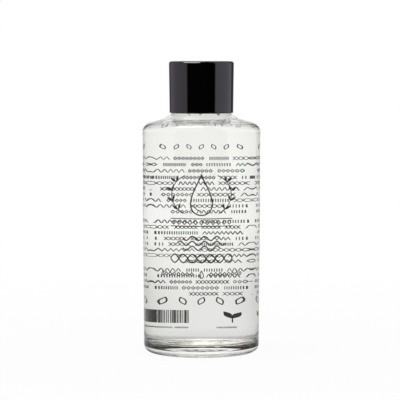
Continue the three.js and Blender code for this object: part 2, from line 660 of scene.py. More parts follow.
@dataclass
class GlassBottle:
    """The moulded glass: hollow base, round heel, sloped shoulder, cone and threaded neck."""

    radius: float
    mouth: float
    heel_inset: float = 0.63 * MM
    heel_radius: float = 3.0 * MM
    bearing_width: float = 2.4 * MM
    push_up: float = 1.8 * MM
    shoulder: float = 80.7 * MM
    shoulder_slope: float = math.tan(math.radians(14.5))
    shoulder_radius: float = 3.8 * MM
    collar_foot: float = 14.0 * MM
    collar_slope: float = math.tan(math.radians(30))
    collar_radius: float = 1.6 * MM
    wall: float = 1.9 * MM
    shoulder_wall: float = 2.1 * MM
    collar_wall: float = 2.4 * MM
    floor: float = 4.0 * MM
    floor_rise: float = 0.9 * MM
    inner_heel: float = 4.5 * MM
    inner_shoulder: float = 2.6 * MM
    inner_neck: float = 4.0 * MM
    bore: float = 5.0 * MM
    neck: float = 7.85 * MM
    neck_root_radius: float = 0.5 * MM
    bead: float = 9.0 * MM
    bead_radius: float = 0.6 * MM
    bead_rise: float = 0.7 * MM
    bead_height: float = 1.8 * MM
    lip_radius: float = 0.6 * MM
    thread_drop: float = 6.2 * MM
    thread_depth: float = 1.0 * MM
    thread_run: float = 0.16 * MM

    @classmethod
    def from_frame(cls) -> "GlassBottle":
        """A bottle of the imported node's width and height."""
        _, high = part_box("glass_bottle")
        return cls(radius=high[0], mouth=high[2])

    @property
    def heel(self) -> float:
        """Radius that the side would reach at the table."""
        return self.radius - self.heel_inset

    @property
    def collar(self) -> float:
        """Height of the foot of the cone under the neck."""
        return self.shoulder + (self.radius - self.collar_foot) * self.shoulder_slope

    @property
    def thread(self) -> Thread:
        """The thread round the neck."""
        return Thread(self.mouth - self.thread_drop, self.thread_depth)

    def cone(self, radius: float) -> float:
        """Height of the cone under the neck at a radius."""
        return self.collar + (self.collar_foot - radius) * self.collar_slope

    def side(self, height: float) -> float:
        """Radius of the straight side at a height."""
        return self.heel + self.heel_inset * height / self.shoulder

    def outside(self) -> list[Corner]:
        """Lists the corners of the outer surface.

        Returns:
            The corners from under the base up to the mouth.
        """
        bearing = self.heel - self.heel_radius - self.bearing_width
        root = self.cone(self.neck)
        bead_foot = root + self.bead_rise
        bead_top = bead_foot + self.bead_height
        return [
            *dome(bearing, 0.0, self.push_up),
            Corner(self.heel, 0.0, self.heel_radius),
            Corner(self.radius, self.shoulder, self.shoulder_radius),
            Corner(self.collar_foot, self.collar, self.collar_radius),
            Corner(self.neck, root, self.neck_root_radius),
            Corner(self.neck, bead_foot),
            Corner(self.bead, bead_foot, self.bead_radius),
            Corner(self.bead, bead_top, self.bead_radius),
            Corner(self.neck, bead_top, run=self.thread_run),
            Corner(self.neck, self.mouth, self.lip_radius),
        ]

    def hollow(self) -> list[Corner]:
        """Lists the corners of the inner surface.

        Returns:
            The corners from the floor up to the mouth.
        """
        heel = self.heel - self.wall
        side = self.radius - self.wall
        shoulder_drop = self.shoulder_wall * math.hypot(1, self.shoulder_slope)
        collar_drop = self.collar_wall * math.hypot(1, self.collar_slope)
        foot = self.collar_foot - (collar_drop - shoulder_drop) / (self.collar_slope - self.shoulder_slope)
        return [
            *dome(heel - self.inner_heel, self.floor, self.floor_rise),
            Corner(heel, self.floor, self.inner_heel),
            Corner(side, self.shoulder + self.wall * self.shoulder_slope - shoulder_drop,
                   self.inner_shoulder),
            Corner(foot, self.cone(foot) - collar_drop, self.collar_radius),
            Corner(self.bore, self.cone(self.bore) - collar_drop, self.inner_neck),
            Corner(self.bore, self.mouth, self.lip_radius),
            Corner(self.neck, self.mouth),
        ]

    def wall_inside(self) -> Outline:
        """Points of the inner surface from the floor up to the lip."""
        return traced(self.hollow())[:-1]

    def build(self, wet_line: float) -> Piece:
        """Turns the glass in three zones: outside, inside under the wet line, and inside above it.

        Args:
            wet_line: Height up to which fluid wets the glass.

        Returns:
            The glass piece.
        """
        outside = traced([*self.outside(), Corner(self.bore, self.mouth)])[:-1]
        inside = self.wall_inside()
        lip = self.lip_radius * LOOSE
        while outside[-1].x < self.neck - lip:
            outside.pop()
        while inside[-1].y > self.mouth - TOUCH and inside[-1].x > self.bore + lip:
            inside.pop()
        wet = cut_at(inside, wet_line)
        inside.reverse()
        damp = len(inside) - 1 - wet
        zones = [0] * len(outside) + [2] * damp + [1] * wet
        return TurnedBody(outside + inside, zones, self.raised).build("glass_bottle_dressed")

    def dressed(self, wet_line: float) -> Piece:
        """The glass with the finishes of its three zones."""
        return dress(self.build(wet_line), "bottle", "clear_glass", Finishes.DRY_GLASS, Finishes.WET_GLASS,
                     Finishes.DAMP_GLASS, nodes=["glass_bottle"])

    def raised(self, angle: float, point: Vector) -> float:
        """The thread's relief on the outside of the neck."""
        on_neck = abs(point.x - self.neck) < TOUCH and point.y > self.cone(self.neck) + self.bead_rise
        return self.thread.height(angle, point.y) if on_neck else 0.0


@dataclass
class FluidFill:
    """The fluid in the glass, with a rim that climbs the wall and bubbles under the shoulder."""

    glass: GlassBottle
    level: float
    climb: float = 0.5 * MM
    reach: float = 1.1 * MM
    gap: float = 0.02 * MM
    steps: int = 28
    bubbles: int = 140
    bubble_least: float = 0.14 * MM
    bubble_most: float = 0.32 * MM
    bubble_gap: float = 0.06 * MM
    bubble_zone: Pair = (14.0 * MM, 16.4 * MM)
    bubble_seed: int = 5

    @classmethod
    def from_frame(cls, glass: GlassBottle) -> "FluidFill":
        """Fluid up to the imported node's level."""
        return cls(glass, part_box("remover_fluid")[1][2])

    @property
    def wet_line(self) -> float:
        """Height of the fluid's rim on the glass."""
        return self.level + self.climb

    def build(self) -> Piece:
        """Turns the fluid; its wall is the first zone and its open top the second.

        Returns:
            The fluid piece.
        """
        wall = self.glass.wall_inside()
        wall = wall[:cut_at(wall, self.wet_line) + 1]
        shrunk = [self.drawn_in(wall, index) for index in range(len(wall))]
        shrunk[0].x = 0.0
        rim = shrunk[-1]
        shares = [(step / self.steps) ** 2 for step in range(1, self.steps + 1)]
        top = [Vector((rim.x * (1 - share), self.surface(rim.x * share))) for share in shares]
        top[-1].x = 0.0
        zones = [0] * (len(shrunk) - 1) + [1] * len(top)
        fluid = TurnedBody(shrunk + top, zones).build("remover_fluid_dressed")
        self.hollow_bubbles(fluid.data, wall)
        return fluid

    def dressed(self) -> Piece:
        """The fluid with the finishes of its wall and its top."""
        return dress(self.build(), "bottle", "remover_fluid", Finishes.FLUID_WALL, Finishes.FLUID_TOP,
                     nodes=["remover_fluid"])

    def hollow_bubbles(self, mesh: bpy.types.Mesh, wall: Outline) -> None:
        """Hollows small bubbles out of the fluid, which cling under the shoulder of the glass.

        Args:
            mesh: The fluid's mesh, which gains the bubbles in its second zone.
            wall: Points of the inner surface of the glass up to the fluid's rim.
        """
        chance = random.Random(self.bubble_seed)
        under = [point for point in wall if point.y > self.glass.shoulder / 2]
        body = bmesh.new()
        body.from_mesh(mesh)
        for _ in range(self.bubbles):
            size = self.bubble_least + (self.bubble_most - self.bubble_least) * chance.random() ** 2
            radius = chance.uniform(*self.bubble_zone)
            after = next(index for index, point in enumerate(under) if point.x <= radius)
            low, high = under[after - 1], under[after]
            middle = low.lerp(high, (low.x - radius) / (low.x - high.x))
            middle += leftwards((high - low).normalized()) * (size + self.bubble_gap)
            place = about_axis(middle.x, chance.uniform(0.0, math.tau), middle.y)
            ball = bmesh.ops.create_icosphere(body, subdivisions=2, radius=size,
                                              matrix=Matrix.Translation(place))
            for face in {face for vertex in ball["verts"] for face in vertex.link_faces}:
                face.normal_flip()
                face.material_index = 1
                face.smooth = True
        body.to_mesh(mesh)
        body.free()

    def surface(self, inwards: float) -> float:
        """Height of the open top at a distance in from its rim."""
        return self.level + self.climb * math.exp(-inwards / self.reach)

    def drawn_in(self, wall: Outline, index: int) -> Vector:
        """A point of the wall moved off the glass by the gap."""
        before, after = wall[max(index - 1, 0)], wall[min(index + 1, len(wall) - 1)]
        return wall[index] + leftwards((after - before).normalized()) * self.gap


@dataclass
class OrificePlug:
    """The ribbed plug in the mouth, with a dished web round its orifice."""

    top: float
    hem: float
    flange: float
    flange_height: float = 0.7 * MM
    grip: float = 4.92 * MM
    rib_height: float = 0.35 * MM
    wall: float = 0.75 * MM
    orifice: float = 1.6 * MM
    dish: float = 1.0 * MM
    web: float = 0.9 * MM
    ribs: int = 3
    edge: float = 0.18 * MM

    @classmethod
    def from_frame(cls) -> "OrificePlug":
        """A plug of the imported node's flange and length."""
        low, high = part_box("orifice_plug")
        return cls(high[2], low[2], high[0])

    def build(self) -> Piece:
        """Turns the plug.

        Returns:
            The plug piece.
        """
        root = self.grip - self.rib_height
        skirt = root - self.wall
        dish = self.top - self.dish
        seat = self.top - self.flange_height
        pitch = (seat - self.hem) / (self.ribs + 1)
        ribs = [corner for rib in range(1, self.ribs + 1) for corner in self.rib(self.hem + pitch * rib)]
        corners = [
            Corner(self.orifice, dish - self.web / 2),
            Corner(self.orifice, dish - self.web, self.edge),
            Corner(skirt, dish - self.web, self.wall),
            Corner(skirt, self.hem),
            Corner(root, self.hem, self.wall / 2),
            *ribs,
            Corner(root, seat, self.edge),
            Corner(self.flange, seat, self.edge),
            Corner(self.flange, self.top, self.edge),
            Corner(skirt, self.top, self.edge),
            Corner(self.orifice, dish, self.edge),
            Corner(self.orifice, dish - self.web / 2),
        ]
        return TurnedBody(traced(corners)).build("orifice_plug_dressed")

    def dressed(self) -> Piece:
        """The plug in milky plastic."""
        return dress(self.build(), "bottle", "milky_plug", Finishes.MILKY, nodes=["orifice_plug"])

    def rib(self, height: float) -> list[Corner]:
        """Corners of one grip rib."""
        root = self.grip - self.rib_height
        return [Corner(root, height - self.rib_height, self.edge),
                Corner(self.grip, height, self.edge),
                Corner(root, height + self.rib_height, self.edge)]


# Closure


@dataclass
class SealDisc:
    """A round layer of the seal, with soft edges and a faint press mark."""

    name: str
    radius: float
    bottom: float
    top: float
    edge: float
    press: float
    press_radius: float = 5.4 * MM
    groove: float = 0.5 * MM

    @classmethod
    def from_frame(cls, node: str, edge: float, press: float) -> "SealDisc":
        """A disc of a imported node's size."""
        low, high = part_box(node)
        return cls(node, high[0], low[2], high[2], edge, press)

    def build(self) -> Piece:
        """Turns the disc.

        Returns:
            The disc piece.
        """
        corners = [
            Corner(0.0, self.bottom + self.press),
            Corner(self.press_radius - self.groove, self.bottom + self.press, self.groove),
            Corner(self.press_radius + self.groove, self.bottom, self.groove),
            Corner(self.radius, self.bottom, self.edge),
            Corner(self.radius, self.top, self.edge),
            Corner(0.0, self.top),
        ]
        return TurnedBody(traced(corners)).build(self.name + "_dressed")

    def dressed(self, body: str, slot: str, finish: Finishes) -> Piece:
        """The disc in its own finish."""
        return dress(self.build(), body, slot, finish, nodes=[self.name])


@dataclass
class ScrewCap:
    """The glossy outer shell and the threaded insert inside it."""

    hem: float
    crown: float
    crown_radius: float
    insert_hem: float
    insert_top: float
    insert_radius: float
    thread: Thread
    flare: float = 0.24 * MM
    wall: float = 0.75 * MM
    top_wall: float = 1.3 * MM
    edge: float = 0.9 * MM
    hem_edge: float = 0.3 * MM
    inner_edge: float = 0.6 * MM
    snap_gap: float = 0.05 * MM
    snap_height: float = 0.8 * MM
    snap_depth: float = 0.35 * MM
    insert_wall: float = 1.25 * MM
    insert_ceiling: float = 1.2 * MM
    grip_depth: float = 0.5 * MM
    grip_drop: float = 1.6 * MM
    grip_height: float = 0.25 * MM
    thread_run: float = 0.16 * MM

    @classmethod
    def from_frame(cls, glass: GlassBottle) -> "ScrewCap":
        """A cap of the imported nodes' size, with a thread that fits between the neck's turns.

        Args:
            glass: The bottle that it screws onto.

        Returns:
            The cap.
        """
        low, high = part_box("cap_shell")
        insert_low, insert_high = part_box("cap_insert")
        neck = glass.thread
        thread = Thread(neck.base - neck.pitch / 2, depth=0.65 * MM, turns=1.6, crest=0.3 * MM,
                        foot=1.0 * MM)
        return cls(low[2], high[2], high[0], insert_low[2], insert_high[2], insert_high[0], thread)

    def build_shell(self) -> Piece:
        """Turns the outer shell.

        Returns:
            The shell piece.
        """
        outer = self.crown_radius - self.flare
        bore = outer - self.wall
        ceiling = self.crown - self.top_wall
        snap = self.insert_hem - self.snap_gap
        snap_edge = self.hem_edge / 2
        corners = [
            Corner(0.0, ceiling),
            Corner(bore, ceiling, self.inner_edge),
            Corner(bore, snap, snap_edge),
            Corner(bore - self.snap_depth, snap - self.snap_height / 2, snap_edge),
            Corner(bore, snap - self.snap_height, snap_edge),
            Corner(bore, self.hem, self.hem_edge),
            Corner(outer, self.hem, self.hem_edge),
            Corner(self.crown_radius, self.crown, self.edge),
            Corner(0.0, self.crown),
        ]
        return TurnedBody(traced(corners)).build("cap_shell_dressed")

    def build_insert(self) -> Piece:
        """Turns the insert with the thread inside it.

        Returns:
            The insert piece.
        """
        bore = self.insert_radius - self.insert_wall
        ceiling = self.insert_top - self.insert_ceiling
        grip = ceiling - self.grip_drop
        grip_edge = self.grip_height / 2
        corners = [
            Corner(0.0, ceiling),
            Corner(bore, ceiling),
            Corner(bore, grip + self.grip_height, grip_edge),
            Corner(bore - self.grip_depth, grip, grip_edge),
            Corner(bore, grip - self.grip_height, grip_edge, run=self.thread_run),
            Corner(bore, self.insert_hem, self.hem_edge),
            Corner(self.insert_radius, self.insert_hem, self.hem_edge),
            Corner(self.insert_radius, self.insert_top, self.inner_edge),
            Corner(0.0, self.insert_top),
        ]

        def raised(angle: float, point: Vector) -> float:
            """The thread's relief towards the neck."""
            on_bore = abs(point.x - bore) < TOUCH and point.y < grip
            return -self.thread.height(angle, point.y) if on_bore else 0.0

        return TurnedBody(traced(corners), relief=raised).build("cap_insert_dressed")

    def dressed(self) -> tuple[Piece, Piece]:
        """The insert in white plastic and the shell in glossy black."""
        return (dress(self.build_insert(), "cap", "moulded_white", Finishes.WHITE_MOULDED,
                      nodes=["cap_insert"]),
                dress(self.build_shell(), "cap", "gloss_black", Finishes.BLACK_CAP, nodes=["cap_shell"]))


# Printed ink

Stroke = list[Vector]


@dataclass
class InkSheet:
    """Ink strokes laid round the side of the glass.

    A stroke runs through points of distance round the side and height, and the ink stands
    a little proud of the glass and reaches a little into it, so that it shows from both faces.
    """

    glass: GlassBottle
    facing: float
    proud: float = 0.02 * MM
    sunk: float = 0.03 * MM
    step: float = 0.35 * MM
    point: float = 0.04 * MM
    mitre: float = 1.6
    least_turn: float = 0.3
    vertices: list[Point] = field(default_factory=list)
    faces: list[Face] = field(default_factory=list)

    def place(self, point: Vector, lift: float) -> Point:
        """Wraps a point of the sheet round the glass, lifted off it."""
        radius = self.glass.side(point.y)
        return about_axis(radius + lift, self.facing + point.x / radius, point.y)

    def draw(self, stroke: Stroke, width: float, closed: bool = False) -> None:
        """Lays one stroke of ink.

        Args:
            stroke: The points along its middle.
            width: Its width.
            closed: Whether its end joins its start.
        """
        points = self.spaced(stroke + stroke[:1] if closed else stroke)
        if closed:
            points.pop()
        self.lay(points, [width / 2] * len(points), closed)

    def fill_leaf(self, foot: Vector, tip: Vector, width: float) -> None:
        """Lays a solid pointed leaf.

        Args:
            foot: Where the leaf starts.
            tip: Where it ends.
            width: Its greatest width.
        """
        points = self.spaced([foot, foot.lerp(tip, 0.5), tip])
        last = len(points) - 1
        halves = [max(self.point, width / 2 * math.sin(math.pi * index / last))
                  for index in range(last + 1)]
        self.lay(points, halves, False)

    def lay(self, points: Stroke, halves: Sequence[float], closed: bool) -> None:
        """Lays a band of ink with its own half width at each point.

        Args:
            points: The points along its middle.
            halves: Half of its width at each of them.
            closed: Whether its end joins its start.
        """
        first = len(self.vertices)
        count = len(points)
        for index, point in enumerate(points):
            across = self.across(points, index, closed) * halves[index]
            for edge, lift in ((1, -self.sunk), (-1, -self.sunk), (-1, self.proud), (1, self.proud)):
                self.vertices.append(self.place(point + across * edge, lift))
        for index in range(count if closed else count - 1):
            here = first + 4 * index
            after = first + 4 * ((index + 1) % count)
            for side in range(4):
                beside = (side + 1) % 4
                self.faces.append((here + side, here + beside, after + beside, after + side))
        if not closed:
            last = first + 4 * (count - 1)
            self.faces.append((first + 3, first + 2, first + 1, first))
            self.faces.append((last, last + 1, last + 2, last + 3))

    def spaced(self, stroke: Stroke) -> Stroke:
        """Divides a stroke so that it follows the round of the glass.

        Args:
            stroke: The points along its middle.

        Returns:
            The points with more between them.
        """
        points = [stroke[0]]
        for end in stroke[1:]:
            start = points[-1]
            count = max(1, math.ceil((end - start).length / self.step))
            points += [start.lerp(end, index / count) for index in range(1, count + 1)]
        return points

    def across(self, points: Stroke, index: int, closed: bool) -> Vector:
        """Unit vector across a stroke at one of its points, longer where the stroke bends.

        Args:
            points: The stroke.
            index: The point.
            closed: Whether the stroke's end joins its start.

        Returns:
            The vector to its left edge for a stroke of half width 1.
        """
        count = len(points)
        here = points[index]
        before = points[index - 1] if closed or index > 0 else points[0]
        after = points[(index + 1) % count] if closed or index < count - 1 else points[-1]
        ahead = (after - here if (after - here).length > 0 else here - before).normalized()
        behind = (here - before if (here - before).length > 0 else after - here).normalized()
        middle = (ahead + behind).normalized()
        return leftwards(middle) * min(self.mitre, 1 / max(self.least_turn, middle.dot(ahead)))

    def piece(self, name: str) -> Piece:
        """Makes all the strokes into one piece."""
        return skinned(name, self.vertices, self.faces)

    def build(self) -> Piece:
        """Draws the strokes; each print has its own."""
        raise NotImplementedError

    def dressed(self) -> Piece:
        """The print in black ink."""
        return dress(self.build(), "bottle", "gloss_black", Finishes.BLACK_INK)


def drop_outline(middle: Vector, height: float, width: float, steps: int = 48) -> Stroke:
    """A drop that hangs from its point.

    Args:
        middle: The middle of the drop.
        height: Its height.
        width: Its width.
        steps: Points round it.

    Returns:
        The closed outline.
    """
    taper, fullest = 1.6, 0.86
    points = []
    for step in range(steps):
        turn = math.tau * step / steps
        across = math.sin(turn) * math.sin(turn / 2) ** taper
        points.append(middle + Vector((across * width / 2 / fullest, math.cos(turn) * height / 2)))
    return points


def leaf_outline(foot: Vector, tip: Vector, width: float, steps: int = 14) -> Stroke:
    """A pointed leaf between its foot and its tip.

    Args:
        foot: Where the leaf starts.
        tip: Where it ends.
        width: Its greatest width.
        steps: Points along each edge.

    Returns:
        The closed outline.
    """
    along = tip - foot
    across = leftwards(along).normalized() * width / 2
    bulges = [(along * share + across * math.sin(math.pi * share))
              for share in (step / steps for step in range(steps))]
    return [foot + bulge for bulge in bulges] + [tip - bulge for bulge in bulges]


def wave(start: Vector, end: Vector, swell: float, first: float, last: float, count: int) -> Stroke:
    """A wave along a straight line, from its first angle to its last, in radians."""
    shares = [step / count for step in range(count + 1)]
    return [start.lerp(end, share) + Vector((0.0, swell * math.sin(first + (last - first) * share)))
            for share in shares]


def arc(centre: Vector, wide: float, tall: float, start: float, step: float, count: int) -> Stroke:
    """Points round an ellipse of given half sizes, by equal steps in degrees."""
    angles = [math.radians(start + step * index) for index in range(count)]
    return [centre + Vector((math.cos(angle) * wide, math.sin(angle) * tall)) for angle in angles]


@dataclass
class FrontPrint(InkSheet):
    """The thin ornament on the front: a drop between two sprigs, waves, a braid, rules and diamonds.

    An arc has its start and step in degrees and its count of points, a leaf of a sprig has its
    lean, rise, length and width, and a row of waves its height off the middle and its half length.
    """

    facing: float = -math.pi / 2
    line: float = 0.42 * MM
    fine: float = 0.29 * MM
    half_width: float = 11.2 * MM
    drop_height: float = 57.0 * MM
    drop_size: Pair = (14.2 * MM, 9.4 * MM)
    glint_drop: float = 2.9 * MM
    glint_radius: float = 2.7 * MM
    glint_arc: tuple[float, float, int] = (195.0, 7.5, 11)
    stem_offset: float = 1.6 * MM
    stem_size: Pair = (9.2 * MM, 7.4 * MM)
    stem_arc: tuple[float, float, int] = (-62.0, 9.0, 15)
    leaves: tuple[tuple[float, ...], ...] = ((1.0, 0.55, 2.6 * MM, 0.85 * MM),
                                             (-0.35, 1.0, 2.3 * MM, 0.75 * MM))
    leaf_places: tuple[int, int, int] = (2, -1, 3)
    rule_height: float = 47.4 * MM
    rule_gap: float = 1.3 * MM
    rule_diamond: float = 0.7 * MM
    rule_pitch: float = 2.0 * MM
    rule_count: int = 11
    wave_height: float = 40.2 * MM
    wave_length: float = 4.3 * MM
    wave_swell: float = 0.72 * MM
    wave_rows: tuple[Pair, ...] = ((1.7 * MM, 6.6 * MM), (0.0, 8.6 * MM), (-1.7 * MM, 6.6 * MM))
    wave_steps: int = 44
    braid_height: float = 34.9 * MM
    braid_swell: float = 1.45 * MM
    braid_turn: float = 7 * math.pi
    braid_steps: int = 72
    diamond_arc: tuple[float, float, int] = (0.0, 90.0, 4)
    foot_height: float = 29.4 * MM
    foot_drop: Pair = (2.6 * MM, 1.8 * MM)
    foot_diamond: float = 0.6 * MM
    foot_start: float = 3.4 * MM
    foot_pitch: float = 1.6 * MM
    foot_count: int = 8

    def build(self) -> Piece:
        """Draws the ornament.

        Returns:
            The ink piece.
        """
        self.draw_drop()
        for side in (-1, 1):
            self.draw_sprig(side)
        self.draw_waves()
        self.draw_rules()
        self.draw_diamonds()
        return self.piece("front_print")

    def draw_drop(self) -> None:
        """Draws the drop and the glint inside it."""
        middle = Vector((0.0, self.drop_height))
        self.draw(drop_outline(middle, *self.drop_size), self.line, closed=True)
        centre = middle - Vector((0.0, self.glint_drop))
        self.draw(arc(centre, self.glint_radius, self.glint_radius, *self.glint_arc), self.fine)

    def draw_sprig(self, side: int) -> None:
        """Draws one bent stem with its leaves.

        Args:
            side: -1 for the left sprig and 1 for the right one.
        """
        wide, tall = self.stem_size
        centre = Vector((side * self.stem_offset, self.drop_height))
        stem = arc(centre, side * wide, tall, *self.stem_arc)
        self.draw(stem, self.fine)
        for foot in stem[slice(*self.leaf_places)]:
            for lean, rise, length, width in self.leaves:
                way = Vector((side * lean, rise)).normalized()
                self.fill_leaf(foot, foot + way * length, width)

    def draw_waves(self) -> None:
        """Draws three level waves, and under them a braid of two that cross."""
        for row, half in self.wave_rows:
            end = Vector((half, 0.0))
            middle = Vector((0.0, self.wave_height + row))
            turn = half / self.wave_length * math.tau
            self.draw(wave(middle - end, middle + end, self.wave_swell, -turn, turn, self.wave_steps),
                      self.line)
        left, right = (Vector((side * self.half_width, self.braid_height)) for side in (-1, 1))
        for way in (-1, 1):
            self.draw(wave(left, right, way * self.braid_swell, 0.0, self.braid_turn, self.braid_steps),
                      self.line)

    def draw_rules(self) -> None:
        """Draws the two rules under the drop."""
        for side in (1, -1):
            height = self.rule_height + side * self.rule_gap
            self.draw([Vector((-self.half_width, height)), Vector((self.half_width, height))], self.fine)

    def draw_diamonds(self) -> None:
        """Draws the diamonds between the rules and in the row at the foot, with a small drop there."""
        reach = self.rule_count // 2
        diamonds = [(self.rule_pitch * index, self.rule_height, self.rule_diamond)
                    for index in range(-reach, reach + 1)]
        diamonds += [(side * (self.foot_start + self.foot_pitch * index), self.foot_height,
                      self.foot_diamond) for side in (-1, 1) for index in range(self.foot_count)]
        for across, height, half in diamonds:
            self.draw(arc(Vector((across, height)), half, half, *self.diamond_arc), self.fine, closed=True)
        foot = Vector((0.0, self.foot_height))
        self.draw(drop_outline(foot, *self.foot_drop, steps=20), self.fine, closed=True)


class Motif(Enum):
    """Plain ornaments that fill the rows of the back print."""

    WAVE = "wave"
    ZIGZAG = "zigzag"
    BRAID = "braid"
    TICKS = "ticks"
    DIAMONDS = "diamonds"


@dataclass(frozen=True)
class OrnamentRows:
    """A block of rows of small ornaments in groups.

    The top is the foot of the first row, the reach is half of the longest row, and the lines
    lose the share thin of their width towards its ends. A diamond's half width and a tick's place
    off the middle are shares of the repeat. The pairs are ranges of chance.
    """

    top: float
    rows: int
    pitch: float = 2.05 * MM
    tall: float = 1.12 * MM
    reach: float = 11.8 * MM
    line: float = 0.185 * MM
    repeat: float = 0.82 * MM
    thin: float = 0.65
    diamond: float = 0.36
    tick: float = 0.25
    wave_steps: int = 8
    full_row: Pair = (0.85, 1.0)
    short_row: Pair = (0.1, 0.5)
    group: tuple[int, int] = (3, 9)
    stretch: Pair = (0.75, 1.2)
    space: Pair = (0.5, 0.8)

    def draw(self, sheet: InkSheet, chance: random.Random) -> None:
        """Draws the rows, the last one short.

        Args:
            sheet: The ink sheet.
            chance: Source of the rows' own mixture.
        """
        for row in range(self.rows):
            left = -self.reach * chance.uniform(*self.full_row)
            ends = self.short_row if row == self.rows - 1 else self.full_row
            right = self.reach * chance.uniform(*ends)
            self.draw_row(sheet, chance, self.top - row * self.pitch, left, right)

    def draw_row(self, sheet: InkSheet, chance: random.Random, foot: float, left: float,
                 right: float) -> None:
        """Draws one row as groups with gaps between them.

        Args:
            sheet: The ink sheet.
            chance: Source of the row's own mixture.
            foot: Height of the foot of the row.
            left: Where the row starts.
            right: Where its last group starts at the latest.
        """
        across = left
        while across < right:
            count = chance.randint(*self.group)
            motif = chance.choice(list(Motif))
            repeat = self.repeat * chance.uniform(*self.stretch)
            self.draw_group(sheet, motif, Vector((across, foot)), repeat, count)
            across += repeat * count + self.tall * chance.uniform(*self.space)

    def thinned(self, across: float) -> float:
        """The width of the line at a place along a row."""
        return self.line * (1 - self.thin * min(1.0, abs(across) / self.reach) ** 2)

    def draw_group(self, sheet: InkSheet, motif: Motif, foot: Vector, repeat: float, count: int) -> None:
        """Draws one group of a motif.

        Args:
            sheet: The ink sheet.
            motif: What is repeated.
            foot: Left end of the group's foot.
            repeat: Distance from one to the next.
            count: How many there are.
        """
        up = Vector((0.0, self.tall))
        line = self.thinned(foot.x + repeat * count / 2)
        if motif in (Motif.WAVE, Motif.BRAID):
            slow, ways = (2, (1, -1)) if motif is Motif.BRAID else (1, (1,))
            steps = self.wave_steps * count // slow
            waves = steps / self.wave_steps
            left = foot + up / 2
            right = left + Vector((slow * repeat * waves, 0.0))
            for way in ways:
                sheet.draw(wave(left, right, way * self.tall / 2, -math.pi / 2,
                                math.tau * waves - math.pi / 2, steps), line)
            return
        if motif is Motif.ZIGZAG:
            sheet.draw([foot + Vector((repeat * step / 2, 0.0)) + up * (step % 2)
                        for step in range(2 * count + 1)], line)
            return
        for index in range(count):
            middle = foot + Vector((repeat * (index + 0.5), 0.0))
            if motif is Motif.TICKS:
                for beside in (-self.tick, self.tick):
                    tick = middle + Vector((repeat * beside, 0.0))
                    sheet.draw([tick, tick + up], line)
            else:
                side = Vector((repeat * self.diamond, 0.0))
                sheet.draw([middle, middle + up / 2 + side, middle + up, middle + up / 2 - side], line,
                           closed=True)


@dataclass(frozen=True)
class Garland:
    """A row of leaf outlines that lean to either side in turn.

    The height is that of its middle; lean, pitch and width are shares of a leaf's length.
    """

    height: float
    count: int
    tall: float
    line: float
    lean: float = 0.32
    pitch: float = 1.28
    width: float = 0.42

    def draw(self, sheet: InkSheet) -> None:
        """Draws the row.

        Args:
            sheet: The ink sheet.
        """
        for index in range(self.count):
            middle = Vector(((index - (self.count - 1) / 2) * self.tall * self.pitch, self.height))
            half = Vector((self.lean if index % 2 else -self.lean, 1.0)) * self.tall / 2
            sheet.draw(leaf_outline(middle - half, middle + half, self.tall * self.width), self.line,
                       closed=True)


@dataclass
class BackPrint(InkSheet):
    """The small print on the back: blocks of ornament rows, two garlands, upright bars and a sprout.

    The sprout's leaves are given by how far they lean and rise.
    """

    facing: float = math.pi / 2
    title: Garland = Garland(72.4 * MM, 9, 1.75 * MM, 0.17 * MM)
    blocks: tuple[OrnamentRows, ...] = (
        OrnamentRows(67.7 * MM, 3, 2.25 * MM),
        OrnamentRows(60.8 * MM, 7),
        OrnamentRows(45.0 * MM, 8),
        OrnamentRows(27.5 * MM, 5, 2.15 * MM),
    )
    garland: Garland = Garland(16.9 * MM, 5, 2.6 * MM, 0.26 * MM)
    bars_foot: float = 8.9 * MM
    bars_top: float = 13.6 * MM
    bars_left: float = 2.3 * MM
    bars_right: float = 8.5 * MM
    bar_widths: tuple[float, ...] = (0.09, 0.13, 0.2, 0.34)
    bar_gaps: tuple[float, ...] = (0.06, 0.09, 0.13, 0.2)
    sprout_foot: Pair = (-5.5 * MM, 9.0 * MM)
    sprout_stem: Pair = (0.0, 1.5 * MM)
    sprout_line: float = 0.2 * MM
    sprout_leaves: tuple[Pair, ...] = ((-1.35, 2.2), (1.5, 2.6))
    sprout_leaf_width: float = 1.3 * MM
    notes: OrnamentRows = OrnamentRows(7.0 * MM, 1, tall=0.6 * MM, line=0.12 * MM, repeat=0.45 * MM)
    notes_ends: tuple[Pair, ...] = ((2.3 * MM, 6.5 * MM), (-6.2 * MM, -3.4 * MM))
    seed: int = 12

    def build(self) -> Piece:
        """Prints the blocks from the top down.

        Returns:
            The ink piece.
        """
        chance = random.Random(self.seed)
        self.title.draw(self)
        for block in self.blocks:
            block.draw(self, chance)
        self.garland.draw(self)
        self.draw_bars(chance)
        self.draw_sprout()
        for left, right in self.notes_ends:
            self.notes.draw_row(self, chance, self.notes.top, left, right)
        return self.piece("back_print")

    def draw_bars(self, chance: random.Random) -> None:
        """Draws the upright bars of mixed width.

        Args:
            chance: Source of the mixture.
        """
        across = self.bars_left
        while across < self.bars_right:
            width = chance.choice(self.bar_widths) * MM
            middle = across + width / 2
            self.draw([Vector((middle, self.bars_foot)), Vector((middle, self.bars_top))], width)
            across += width + chance.choice(self.bar_gaps) * MM

    def draw_sprout(self) -> None:
        """Draws the small sprout of two solid leaves on a stem."""
        foot = Vector(self.sprout_foot)
        fork = foot + Vector(self.sprout_stem)
        self.draw([foot, fork], self.sprout_line)
        for leaf in self.sprout_leaves:
            self.fill_leaf(fork, fork + Vector(leaf) * MM, self.sprout_leaf_width)


# Studio


